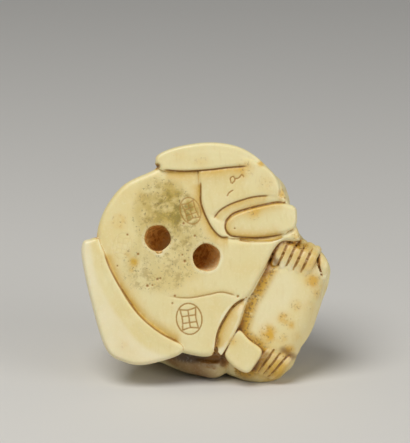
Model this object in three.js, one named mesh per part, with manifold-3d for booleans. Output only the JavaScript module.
// A netsuke, the toggle that holds a cord at a sash, carved from one block of ivory. A man in a wide
// robe and a soft cap kneels bowed over a full sack and clasps its two ends, his chin on top of it.
//
// Millimetres, +Z up. The block is carved in a frame of its own: x across, z up, and y the depth into
// the block, from its underside at y = 0 (the wide seat of the robe, with the two cord holes) to the
// man's back and head. It stands on one arm and one folded leg, leaning back by LEAN, and is at last
// turned so that the surface it stands on is z = 0.

import * as THREE from "three";
import { mergeVertices } from "three/addons/utils/BufferGeometryUtils.js";
import Module from "manifold-3d";

// ---- driving dimensions --------------------------------------------------------------------------
const LEAN = THREE.MathUtils.degToRad(15); // how far the underside leans back from upright
const FLOOR_Z = -20.8; // where the floor meets the plane of the underside
const CLOTH_Y = 0.0; // depth of the cloth that overlaps the seat
const SEAT_Y = 0.5; // depth of the robe's seat, the ground of the underside's relief
const SACK_Y = 1.2; // depth of the crest of the sack
const BACK_Y = 19.8; // depth of the highest point of the robe, below the shoulders
const GROOVE_R = 0.3; // radius of the line cut along each edge of cloth
const FOLD_R = 0.55; // radius of a fold cut into the back of the robe
const CORD_R = [2.15, 2.0, 2.3]; // radius of the cord tunnel at its first mouth, its bend, its last
const FINGER_R = 0.8; // half the width of a finger of the upper hand, at its middle joint
const LOWER_FINGER_R = 0.66; // and of the lower, which is carved smaller
const FINGER_FLAT = 0.75; // a finger's thickness as a share of its width
const IVORY = { color: 0xe2d3a2, roughness: 0.38, metalness: 0 };

// ---- outlines across the block, as [x, z] -----------------------------------------------------------
// Each closes on itself as one smooth curve through its points.
const ROBE = [
  [-8.1, 14.8], [-13.1, 12.2], [-16.6, 7.4], [-17.5, 2.2], [-15.6, -4.6], [-9.6, -12.6], [-3.6, -14.6],
  [0.0, -15.2], [1.4, -14.4], [2.1, -11.5], [3.5, -8.0], [6.6, -5.8], [9.0, -1.8], [11.8, 3.0],
  [15.0, 3.4], [14.1, 6.9], [13.0, 10.2], [11.2, 13.8], [7.0, 17.3], [0.0, 18.4], [-7.8, 16.4],
];
const HEM = [
  [-19.8, 3.1], [-18.7, 3.7], [-17.3, 3.8], [-16.3, 1.6], [-12.2, -6.6], [-6.6, -11.6], [-3.8, -13.4],
  [-4.5, -15.0], [-9.8, -16.5], [-13.3, -16.0], [-16.1, -13.9], [-18.4, -6.6], [-19.9, 0.4],
];
const FLAP = [
  [-7.9, 16.5], [-7.0, 17.5], [-4.2, 18.6], [0.0, 19.2], [3.8, 18.9], [6.9, 17.7], [9.2, 15.5],
  [4.6, 15.3], [-2.6, 14.5], [-7.2, 14.7],
];
const SLEEVE = [
  [-0.9, 14.7], [-0.8, 9.9], [1.1, 5.1], [3.5, 3.8], [11.8, 4.2], [13.2, 5.9], [11.8, 9.4],
  [11.7, 12.6], [9.6, 14.8], [3.0, 14.9],
];
const UPPER_CUFF = [
  [3.0, 5.8], [4.3, 7.4], [7.0, 8.5], [11.0, 9.4], [13.9, 9.1], [14.6, 7.8], [14.1, 5.4],
  [10.6, 4.3], [6.2, 3.8], [3.8, 4.3],
];
const LOWER_CUFF = [
  [5.0, -10.9], [7.0, -12.5], [9.0, -14.2], [8.2, -16.2], [6.7, -17.8], [4.8, -17.1], [3.2, -15.5],
  [3.0, -14.2],
];
const SACK = [
  [12.3, 2.6], [15.2, 2.9], [18.3, 2.0], [20.1, -0.8], [19.7, -4.2], [18.2, -9.1], [16.1, -13.4],
  [13.4, -16.6], [9.9, -17.6], [6.7, -16.0], [3.6, -12.2], [2.6, -8.0], [4.0, -3.6], [8.2, 0.6],
];
// The fold of cloth between the sleeve's upper part and its cuff, cut lower than both.
const SLEEVE_FOLD = [
  [1.3, 6.6], [1.8, 8.0], [3.8, 9.1], [7.0, 10.2], [11.0, 10.7], [12.4, 9.6], [7.0, 8.0], [3.6, 6.2],
];
// The narrow fold between the robe's lower edge and the sack.
const LAP_FOLD = [
  [6.4, -5.6], [5.9, -8.0], [4.9, -10.9], [3.0, -14.2], [2.0, -15.2], [1.0, -13.0], [1.9, -9.4], [3.8, -6.6],
];

// ---- lines cut along the edges of the cloth, as [x, z] ----------------------------------------------
const EDGE_LINES = [
  [[-7.4, 14.7], [-2.6, 14.5], [0.2, 14.7], [6.7, 15.4]],
  [[-0.9, 14.4], [-0.9, 11.2], [-0.6, 8.6], [0.5, 6.4], [1.6, 4.6], [3.5, 3.8], [8.0, 3.7]],
  [[-16.4, 1.8], [-13.8, -4.3], [-11.0, -7.8], [-3.8, -13.4]],
  [[-5.8, -5.6], [-2.6, -5.8], [0.3, -5.3], [2.9, -4.9], [5.6, -5.4]],
  [[6.1, -5.9], [4.2, -7.1], [2.7, -9.3], [1.9, -11.8], [1.4, -14.2]],
];

// ---- the solid library ------------------------------------------------------------------------------
const wasm = await Module();
wasm.setup();

// Turns a closed geometry's faces round where they point inwards.
function facingOut(geometry) {
  const p = geometry.getAttribute("position");
  const index = Array.from(geometry.index.array);
  const [a, b, c] = [new THREE.Vector3(), new THREE.Vector3(), new THREE.Vector3()];
  let volume = 0;
  for (let i = 0; i < index.length; i += 3) {
    a.fromBufferAttribute(p, index[i]);
    b.fromBufferAttribute(p, index[i + 1]);
    c.fromBufferAttribute(p, index[i + 2]);
    volume += a.dot(b.cross(c));
  }
  return volume < 0 ? index.reverse() : index;
}

// A closed geometry as a solid that can be joined and cut.
function solidOf(geometry) {
  const bare = new THREE.BufferGeometry();
  bare.setAttribute("position", geometry.getAttribute("position"));
  bare.setIndex(geometry.index);
  const merged = mergeVertices(bare, 1e-4);
  return new wasm.Manifold(
    new wasm.Mesh({
      numProp: 3,
      vertProperties: merged.attributes.position.array,
      triVerts: new Uint32Array(facingOut(merged)),
    }),
  );
}

const joined = (solids) => solids.reduce((whole, piece) => whole.add(piece));

// ---- forms --------------------------------------------------------------------------------------------
// Stacked rings of points, closed at each end by one point and put in `place`.
function stackedRings(first, rings, last, place = new THREE.Matrix4()) {
  const sides = rings[0].length;
  const points = [first, ...rings.flat(), last];
  const index = [];
  for (let k = 0; k < sides; k++) {
    const next = (k + 1) % sides;
    index.push(0, 1 + next, 1 + k);
    for (let r = 0; r + 1 < rings.length; r++) {
      const a = 1 + r * sides;
      const b = a + sides;
      index.push(a + k, a + next, b + k, a + next, b + next, b + k);
    }
    const end = 1 + (rings.length - 1) * sides;
    index.push(end + k, end + next, points.length - 1);
  }
  const geometry = new THREE.BufferGeometry().setFromPoints(points);
  geometry.setIndex(index);
  return solidOf(geometry.applyMatrix4(place));
}

// The rim of an outline as evenly spaced points, each with its foot: the nearest point of the outline's
// spine, a line [from, to] down its middle that the form closes in on.
function rimOf(outline, spine, steps) {
  const across = ([x, z]) => new THREE.Vector3(x, 0, z);
  const curve = new THREE.CatmullRomCurve3(outline.map(across), true, "catmullrom", 0.5);
  const rim = curve.getSpacedPoints(steps).slice(0, steps);
  const line = new THREE.Line3(across(spine[0]), across(spine[1]));
  const feet = rim.map((p) => line.closestPointToPoint(p, true, new THREE.Vector3()));
  return { rim, feet, middle: line.getCenter(new THREE.Vector3()) };
}

// A cushion over an outline. Its front is flat at depth `front`, and turns back round the rim over
// `turn`; from depth `waist` its back rises to `back` in a crown, round where `fullness` is 2 and
// fuller above that.
function cushion(outline, { spine, front, back, turn = 0.7, waist = front + turn, fullness = 2.4, steps = 32, rings = 4, place }) {
  const { rim, feet, middle } = rimOf(outline, spine, steps);
  const ring = (shareOf, y) => rim.map((p, i) => feet[i].clone().lerp(p, shareOf(p.distanceTo(feet[i]))).setY(y));
  const stack = [];
  const turns = turn > 2 ? 4 : 2;
  for (let k = 0; k <= turns; k++) {
    const angle = ((k / turns) * Math.PI) / 2;
    const inset = turn * (1 - Math.sin(angle));
    stack.push(ring((reach) => Math.max(1 - inset / reach, 0.08), front + turn * (1 - Math.cos(angle))));
  }
  for (let k = waist > front + turn ? 0 : 1; k < rings; k++) {
    const rise = Math.sin((k / rings) * (Math.PI / 2));
    const share = (1 - rise ** fullness) ** (1 / fullness);
    stack.push(ring(() => share, waist + (back - waist) * rise));
  }
  return stackedRings(middle.clone().setY(front), stack, middle.clone().setY(back), place);
}

// A rounded form swept along a smooth path of [x, y, z] points: `radii` are given along it and eased
// between, `flat` is its thickness along `out` as a share of its width, and its ends are domed.
function limb(path, radii, { sides = 10, rings = 8, flat = 1, out = [0, 1, 0] } = {}) {
  const curve = new THREE.CatmullRomCurve3(path.map((p) => new THREE.Vector3(...p)), false, "centripetal");
  const radiusAt = (t) => {
    const place = t * (radii.length - 1);
    const low = Math.min(Math.floor(place), radii.length - 2);
    return THREE.MathUtils.lerp(radii[low], radii[low + 1], THREE.MathUtils.smoothstep(place - low, 0, 1));
  };
  const section = (t, shift, scale) => {
    const along = curve.getTangent(t);
    const side = new THREE.Vector3().crossVectors(along, new THREE.Vector3(...out)).normalize();
    const up = new THREE.Vector3().crossVectors(side, along);
    const centre = curve.getPoint(t).addScaledVector(along, shift);
    const radius = radiusAt(t) * scale;
    return Array.from({ length: sides }, (_, k) => {
      const angle = (2 * Math.PI * k) / sides;
      return centre
        .clone()
        .addScaledVector(side, radius * Math.cos(angle))
        .addScaledVector(up, radius * flat * Math.sin(angle));
    });
  };
  const dome = [0.7];
  const stack = [];
  for (const s of dome) stack.push(section(0, -radiusAt(0) * Math.sqrt(1 - s * s), s));
  for (let k = 0; k <= rings; k++) stack.push(section(k / rings, 0, 1));
  for (const s of [...dome].reverse()) stack.push(section(1, radiusAt(1) * Math.sqrt(1 - s * s), s));
  const start = curve.getPoint(0).addScaledVector(curve.getTangent(0), -radiusAt(0));
  const end = curve.getPoint(1).addScaledVector(curve.getTangent(1), radiusAt(1));
  return stackedRings(start, stack, end);
}

// An ellipsoid with the given half-widths, placed by a matrix.
function egg(place, [a, b, c], sides = 16) {
  const geometry = new THREE.SphereGeometry(1, sides, Math.round(sides * 0.65));
  geometry.scale(a, b, c);
  geometry.applyMatrix4(place);
  return solidOf(geometry);
}

const moved = (x, y, z) => new THREE.Matrix4().makeTranslation(x, y, z);

// ---- robe and sack ---------------------------------------------------------------------------------------
const ROBE_FORM = { spine: [[-4.0, 1.1], [-1.6, 1.1]], front: SEAT_Y, back: BACK_Y, turn: 0.9, waist: 6.5 };
const ROBE_FULLNESS = 2.4;

// The depth of the robe's back over the point x, z.
function robeBack(x, z) {
  const { rim, feet } = rimOf(ROBE, ROBE_FORM.spine, 120);
  const point = new THREE.Vector3(x, 0, z);
  const bearing = (p, foot) => Math.atan2(p.z - foot.z, p.x - foot.x);
  const gap = (i) => {
    const turn = bearing(rim[i], feet[i]) - bearing(point, feet[i]);
    return Math.abs(Math.atan2(Math.sin(turn), Math.cos(turn)));
  };
  const nearest = rim.reduce((best, _, i) => (gap(i) < gap(best) ? i : best), 0);
  const share = Math.min(point.distanceTo(feet[nearest]) / rim[nearest].distanceTo(feet[nearest]), 1);
  return ROBE_FORM.waist + (BACK_Y - ROBE_FORM.waist) * (1 - share ** ROBE_FULLNESS) ** (1 / ROBE_FULLNESS);
}

// A path of [x, z] points laid on the robe's back, `proud` of it.
const onRobe = (line, proud) => line.map(([x, z]) => [x, robeBack(x, z) + proud, z]);

function robe() {
  const seat = cushion(ROBE, { ...ROBE_FORM, fullness: ROBE_FULLNESS, steps: 44, rings: 6 });
  const hem = cushion(HEM, { spine: [[-17.4, -0.5], [-8.5, -13.2]], front: CLOTH_Y, back: 11.5, turn: 0.8, fullness: 1.8 });
  const flap = cushion(FLAP, { spine: [[-5, 16.4], [5.5, 16.8]], front: CLOTH_Y, back: 11, turn: 0.6, fullness: 1.7, steps: 28 });
  const fold = cushion(SLEEVE_FOLD, { spine: [[3.4, 7.6], [10.8, 9.6]], front: -2, back: CLOTH_Y + 0.5, turn: 0.1, steps: 24, rings: 3 });
  const sleeve = cushion(SLEEVE, { spine: [[2.5, 9.6], [9, 9.6]], front: CLOTH_Y, back: 15, turn: 0.5, fullness: 2 });
  const cuff = cushion(UPPER_CUFF, { spine: [[5.5, 5.6], [12.2, 7]], front: CLOTH_Y + 0.25, back: 10, turn: 0.7, steps: 26 });
  const lap = cushion(LAP_FOLD, { spine: [[4.8, -7.2], [2.4, -13]], front: SEAT_Y + 0.35, back: 7, turn: 0.5, steps: 22, rings: 3 });
  const shoulders = limb([[-1.2, 15.8, 8.2], [0.2, 17.2, 1.0], [-1.8, 16.0, -6.6]], [5.6, 5.2, 5.4], { sides: 14, rings: 6, out: [1, 0, 0] });
  return joined([seat, hem, flap, sleeve.subtract(fold), cuff, lap, shoulders]);
}

// The sash round the waist, with its flat knot in the middle of the back.
function sash() {
  const line = [[-4.6, 16.4], [-6.4, 12.0], [-7.8, 6.5], [-8.4, 1.0], [-8.2, -4.0], [-7.2, -8.0], [-5.8, -11.4]];
  const band = limb(onRobe(line, -0.1), [1.7, 1.9, 1.7], { sides: 6, rings: 12, flat: 0.5, out: [0, 1, 0] });
  const knot = limb(onRobe([[-9.6, 3.6], [-8.8, 0.8], [-9.6, -2.2]], 0.7), [1.3, 2.3, 1.3], { sides: 8, rings: 4, flat: 0.6 });
  return joined([band, knot]);
}

// The collar, turned over behind the neck.
function collar() {
  const path = [[7.6, 17.6, 3.6], [3.6, 20.6, 3.4], [1.4, 21.8, -0.6], [2.8, 20.4, -5.4], [6.8, 17.6, -8.0]];
  return limb(path, [1.0, 1.3, 1.0], { sides: 6, rings: 10, flat: 0.8, out: [1, 0.4, 0] });
}

function sack() {
  return cushion(SACK, { spine: [[14.2, -2.6], [10.6, -12.2]], front: SACK_Y, back: 15.5, turn: 4.4, waist: 7.5, fullness: 2.1, steps: 30 });
}

// ---- arms, hands and leg -------------------------------------------------------------------------------
// Fingers side by side, from the knuckles over the sack's edge to their tips on its front.
function fingers(first, last, radius, count) {
  const between = (a, b, t) => a.map((value, i) => THREE.MathUtils.lerp(value, b[i], t));
  return Array.from({ length: count }, (_, k) => {
    const t = k / (count - 1);
    const path = first.map((point, i) => between(point, last[i], t));
    return limb(path, [radius, radius * 0.98, radius, radius * 0.8], { sides: 6, rings: 3, flat: FINGER_FLAT, out: [0.3, 1, 0.2] });
  });
}

function upperArm() {
  const arm = limb([[-1.5, 15.8, 8.4], [7.8, 13.6, 10.5], [11.2, 7.6, 6.8]], [5.4, 5.0, 3.0], { sides: 12, rings: 7, out: [0, 0, 1] });
  const hand = limb([[12.2, 6.0, 4.6], [14.4, 5.2, 1.4], [16.4, 5.4, -0.6]], [2.3, 2.6, 2.6], { sides: 10, rings: 4, out: [0, 0, 1] });
  const digits = fingers(
    [[13.3, 3.4, 4.1], [12.4, 1.7, 3.0], [11.7, 1.4, 1.4], [10.95, 1.5, -0.2]],
    [[17.9, 3.6, 2.0], [17.2, 1.8, 1.0], [16.5, 1.4, -0.5], [15.85, 1.5, -1.8]],
    FINGER_R,
    5,
  );
  const thumb = limb([[17.8, 5.0, 1.2], [18.8, 3.5, -0.5], [18.9, 3.4, -2.5]], [1.1, 1.0, 0.6], { sides: 6, rings: 4 });
  return joined([arm, hand, ...digits, thumb]);
}

function lowerArm() {
  const arm = limb([[-2.4, 15.8, -7.0], [4.6, 16.4, -10.6], [8.2, 9.6, -13.2]], [5.2, 4.8, 4.2], { sides: 12, rings: 7, out: [0, 1, 0] });
  const cuff = cushion(LOWER_CUFF, { spine: [[5.2, -13.6], [6.4, -15.4]], front: 0.75, back: 9, turn: 0.6, steps: 24, rings: 3 });
  const heel = limb([[5.6, 6.8, -15.0], [8.8, 6.2, -15.4], [11.4, 6.8, -15.0]], [3.9, 4.6, 3.6], { sides: 12, rings: 4, out: [0, 0, 1] });
  const digits = fingers(
    [[7.9, 2.5, -17.3], [8.6, 1.7, -16.3], [9.5, 1.45, -15.1], [10.4, 1.55, -13.8]],
    [[10.5, 3.4, -18.4], [11.4, 2.6, -17.6], [12.4, 2.35, -16.6], [13.4, 2.45, -15.6]],
    LOWER_FINGER_R,
    4,
  );
  return joined([arm, cuff, heel, ...digits]);
}

// The folded leg under the robe, which shows below the hem.
function leg() {
  return limb([[1.0, 6.0, -15.6], [-3.0, 7.4, -14.7], [-7.6, 10.4, -12.2]], [3.3, 3.3, 3.8], { sides: 12, rings: 5, out: [0, 0, 1] });
}

// The wide pouch of the lower sleeve, which hangs along the man's side, as [x, depth]. Its outer face
// is flat and carries the figure as it stands, so it is made lying on the floor.
const POUCH = [
  [-12.4, 15.8], [-11.0, 20.0], [-7.0, 22.2], [0.0, 22.6], [6.0, 20.8], [8.2, 16.6], [6.4, 12.6], [0.0, 11.4], [-7.0, 13.4],
];
function sleevePouch() {
  const along = new THREE.Vector3(1, 0, 0);
  const up = new THREE.Vector3(0, -Math.sin(LEAN), Math.cos(LEAN));
  const inwards = new THREE.Vector3(0, Math.cos(LEAN), Math.sin(LEAN));
  const place = new THREE.Matrix4().makeBasis(along, up, inwards).setPosition(0, 0, FLOOR_Z);
  return cushion(POUCH, { spine: [[-7.6, 17.6], [3.5, 16.8]], front: -0.3, back: 9, turn: 2.4, fullness: 2, steps: 28, place });
}

// ---- head ------------------------------------------------------------------------------------------------
// The head in a frame of its own: the face looks along +X, the crown is +Z.
function head() {
  const facing = new THREE.Vector3(0.84, 0.52, -0.14).normalize();
  const left = new THREE.Vector3(0, 0.1, 1).cross(facing).normalize();
  const crown = facing.clone().cross(left);
  const place = new THREE.Matrix4().makeBasis(facing, left, crown).setPosition(8.4, 19.0, -3.0);
  const at = (x, y, z) => new THREE.Vector3(x, y, z).applyMatrix4(place);
  const eggAt = (x, y, z, size, sides) => egg(place.clone().multiply(moved(x, y, z)), size, sides);
  const limbAt = (path, radii, options) =>
    limb(path.map((p) => at(...p).toArray()), radii, { out: crown.toArray(), ...options });

  const skull = eggAt(0, 0, 0.4, [5.0, 4.6, 5.2], 14);
  const jaw = eggAt(1.0, 0, -2.4, [3.9, 3.7, 3.3], 12);
  const cap = eggAt(-0.9, 0, 2.5, [5.3, 5.1, 3.9], 14);
  const rolls = [-1, 1].map((s) =>
    limbAt([[4.4, 0, 2.5], [3.1, s * 3.4, 2.1], [-0.6, s * 5, 1.6], [-4.2, s * 3.6, 1.3], [-5.6, 0, 1.2]], [0.75, 0.75], { sides: 6, rings: 8 }),
  );
  const nose = limbAt([[4.7, 0, 0.9], [5.2, 0, -0.3], [5.3, 0, -1.1]], [0.4, 0.6, 0.8], { sides: 6, rings: 3, out: facing.toArray() });
  const ears = [-1, 1].map((s) => eggAt(0.2, s * 4.5, -0.7, [1.1, 0.8, 1.8], 6));
  const eyes = [-1, 1].map((s) => eggAt(4.2, s * 1.9, 0.1, [0.7, 1.1, 0.5], 8));
  const lips = eggAt(4.4, 0, -2.9, [0.6, 1.3, 0.5], 6);
  const neck = limb([[2.0, 16.4, -1.0], [6.4, 17.6, -2.4]], [5.2, 4.0], { sides: 12, rings: 3, out: [0, 0, 1] });
  return joined([skull, jaw, cap, ...rolls, nose, ...ears, ...eyes, lips, neck]);
}

// ---- cuts ------------------------------------------------------------------------------------------------
// The tunnel for the cord: in at one hole, round behind the land between them, and out at the other.
function cordTunnel() {
  return limb(
    [[-7.6, -3.5, 3.8], [-7.4, 3.2, 3.7], [-3.9, 7.2, 2.3], [-0.3, 3.2, 0.9], [-0.1, -3.5, 0.7]],
    CORD_R,
    { sides: 16, rings: 9, out: [0.4, 0, -0.9] },
  );
}

function edgeGrooves() {
  return EDGE_LINES.map((line) => limb(line.map(([x, z]) => [x, SEAT_Y, z]), [GROOVE_R, GROOVE_R], { sides: 4, rings: 8 }));
}

// Folds from the sash down the back of the robe.
function backFolds() {
  const lines = [
    [[-10.6, 8.6], [-13.0, 9.6], [-15.4, 9.8]],
    [[-11.2, 4.6], [-13.8, 5.0], [-16.6, 5.2]],
    [[-10.8, -4.2], [-12.6, -4.6], [-14.0, -3.6]],
    [[-2.0, 12.0], [2.6, 12.6], [6.6, 11.4]],
    [[-3.4, 7.0], [0.4, 6.2], [3.8, 6.8]],
    [[-4.4, -6.2], [-0.8, -6.8], [2.2, -6.4]],
  ];
  return lines.map((line) => limb(onRobe(line, 0.15), [FOLD_R * 0.5, FOLD_R, FOLD_R * 0.5], { sides: 5, rings: 6 }));
}

// Everything under the floor that the netsuke stands on.
function underFloor() {
  const size = 100;
  const box = new THREE.BoxGeometry(size, size, size);
  box.translate(0, 0, -size / 2);
  box.rotateX(LEAN);
  box.translate(0, 0, FLOOR_Z);
  return solidOf(box);
}

// ---- the carving ------------------------------------------------------------------------------------------
// The triangles of the outer skin. Forms that lean on each other can shut in a pocket that no carver's
// tool would reach, and its own small skin is left out, so that the block is solid there.
function outerSkin(triangles, points) {
  const owner = Array.from({ length: points }, (_, i) => i);
  const find = (i) => {
    while (owner[i] !== i) {
      owner[i] = owner[owner[i]];
      i = owner[i];
    }
    return i;
  };
  for (let i = 0; i < triangles.length; i += 3) {
    owner[find(triangles[i + 1])] = find(triangles[i]);
    owner[find(triangles[i + 2])] = find(triangles[i]);
  }
  const skins = new Map();
  for (let i = 0; i < triangles.length; i += 3) {
    const root = find(triangles[i]);
    if (!skins.has(root)) skins.set(root, []);
    skins.get(root).push(triangles[i], triangles[i + 1], triangles[i + 2]);
  }
  return [...skins.values()].sort((a, b) => b.length - a.length)[0];
}

function carving() {
  const block = joined([robe(), sash(), collar(), sack(), upperArm(), lowerArm(), sleevePouch(), leg(), head()]);
  const cut = joined([cordTunnel(), ...edgeGrooves(), ...backFolds(), underFloor()]);
  const mesh = block.subtract(cut).getMesh();
  const geometry = new THREE.BufferGeometry();
  geometry.setAttribute("position", new THREE.BufferAttribute(mesh.vertProperties, mesh.numProp));
  geometry.setIndex(outerSkin(mesh.triVerts, mesh.numVert));
  return mergeVertices(geometry, 1e-4);
}

const netsuke = new THREE.Mesh(carving(), new THREE.MeshStandardMaterial(IVORY));
netsuke.name = "netsuke";
netsuke.rotation.x = -LEAN;
netsuke.updateMatrix();
const box = new THREE.Box3().setFromBufferAttribute(
  netsuke.geometry.getAttribute("position").clone().applyMatrix4(netsuke.matrix),
);
netsuke.position.set(-(box.min.x + box.max.x) / 2, -(box.min.y + box.max.y) / 2, -box.min.z);
netsuke.geometry.computeVertexNormals();

const part = new THREE.Group();
part.add(netsuke);

export default part;
